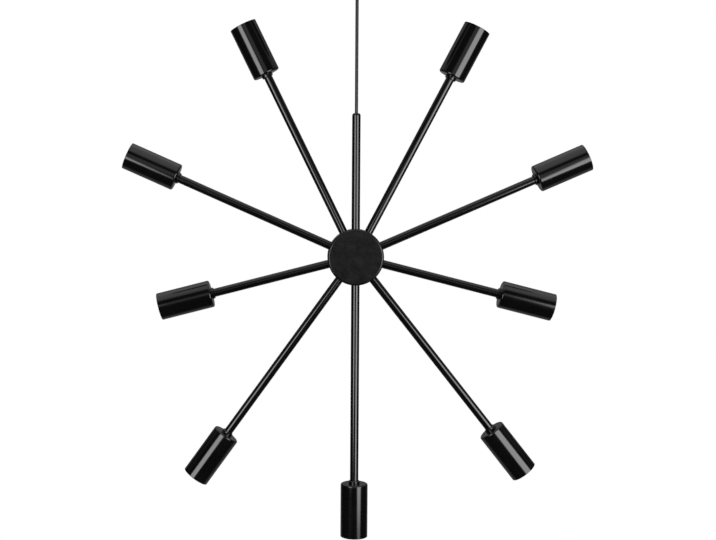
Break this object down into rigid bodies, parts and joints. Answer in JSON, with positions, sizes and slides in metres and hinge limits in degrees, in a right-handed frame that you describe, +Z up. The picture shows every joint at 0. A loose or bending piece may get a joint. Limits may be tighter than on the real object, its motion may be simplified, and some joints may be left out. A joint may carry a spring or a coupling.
{
  "type": "sputnik chandelier",
  "caption": "Black pendant light with a flat round hub, straight arms of differing lengths in one plane, a cylindrical lamp cup on each, a short stem, a taut cord and a canopy.",
  "frame": {"origin": "on the ceiling plane at the middle of the ceiling plate's upper face, straight above the cord", "axes": "+Z up, -Y the front that the picture shows, X across the plane of the arms"},
  "size_m": [0.7235, 0.09, 0.9179],
  "materials": {
    "black_enamel": "gloss black enamel on steel",
    "black_satin": "satin black enamel on steel",
    "zinc_steel": "zinc plated steel",
    "clamp_steel": "pressed zinc plated steel",
    "brass": "bare brass",
    "cord_jacket": "black round cord jacket",
    "core_sleeve": "brown and blue core insulation",
    "lead_sleeve": "clear and white lead insulation",
    "terminal_plastic": "white moulded terminal block",
    "holder_plastic": "black moulded lampholder",
    "bush_plastic": "black turned bush"
  },
  "bodies": {
    "ceiling": {"ceiling_plate": "zinc_steel", "ceiling_hook": "zinc_steel"},
    "ring": {"suspension_ring": "zinc_steel"},
    "hanger": {"clamp_back_half": "clamp_steel", "clamp_front_half": "clamp_steel", "clamp_screws": "zinc_steel", "cord_cores": "core_sleeve", "terminal_block": "terminal_plastic", "terminal_screws": "brass", "supply_cord": "cord_jacket"},
    "canopy": {"canopy": "black_enamel", "canopy_bush": "bush_plastic", "canopy_nut": "zinc_steel", "canopy_lock_screw": "zinc_steel"},
    "lamp": {"stem_bush": "black_enamel", "stem_grip_screw": "zinc_steel", "stem_tube": "black_enamel", "cord_in_stem": "cord_jacket", "hub_shell": "black_satin", "hub_back_cover": "black_satin", "hub_cover_screws": "zinc_steel", "hub_nipples": "zinc_steel", "hub_lock_nuts": "zinc_steel", "junction_block": "terminal_plastic", "junction_screw": "zinc_steel", "arm_leads": "lead_sleeve", "lamp_nipples": "zinc_steel", "cup_collars": "black_enamel", "lampholder_caps": "holder_plastic", "screw_shells": "brass", "centre_contacts": "brass", "arm_tube_1": "black_enamel", "lamp_cup_1": "black_enamel", "lampholder_1": "holder_plastic", "arm_tube_2": "black_enamel", "lamp_cup_2": "black_enamel", "lampholder_2": "holder_plastic", "arm_tube_3": "black_enamel", "lamp_cup_3": "black_enamel", "lampholder_3": "holder_plastic", "arm_tube_4": "black_enamel", "lamp_cup_4": "black_enamel", "lampholder_4": "holder_plastic", "arm_tube_5": "black_enamel", "lamp_cup_5": "black_enamel", "lampholder_5": "holder_plastic", "arm_tube_6": "black_enamel", "lamp_cup_6": "black_enamel", "lampholder_6": "holder_plastic", "arm_tube_7": "black_enamel", "lamp_cup_7": "black_enamel", "lampholder_7": "holder_plastic", "arm_tube_8": "black_enamel", "lamp_cup_8": "black_enamel", "lampholder_8": "holder_plastic", "arm_tube_9": "black_enamel", "lamp_cup_9": "black_enamel", "lampholder_9": "holder_plastic"}
  },
  "joints": [
    {"name": "swing_sideways", "type": "hinge", "parent": "ceiling", "child": "ring", "pos_m": [0, 0, -0.024], "axis": [0, 1, 0], "range_deg": [-7, 7]},
    {"name": "swing_to_and_fro", "type": "hinge", "parent": "ring", "child": "hanger", "pos_m": [0, 0, -0.0352], "axis": [1, 0, 0], "range_deg": [-7, 7]},
    {"name": "canopy_slide", "type": "slide", "parent": "hanger", "child": "canopy", "axis": [0, 0, -1], "range_m": [0, 0.15]},
    {"name": "cord_twist", "type": "hinge", "parent": "hanger", "child": "lamp", "pos_m": [0, 0, -0.26835], "axis": [0, 0, 1], "range_deg": [-180, 180]}
  ]
}
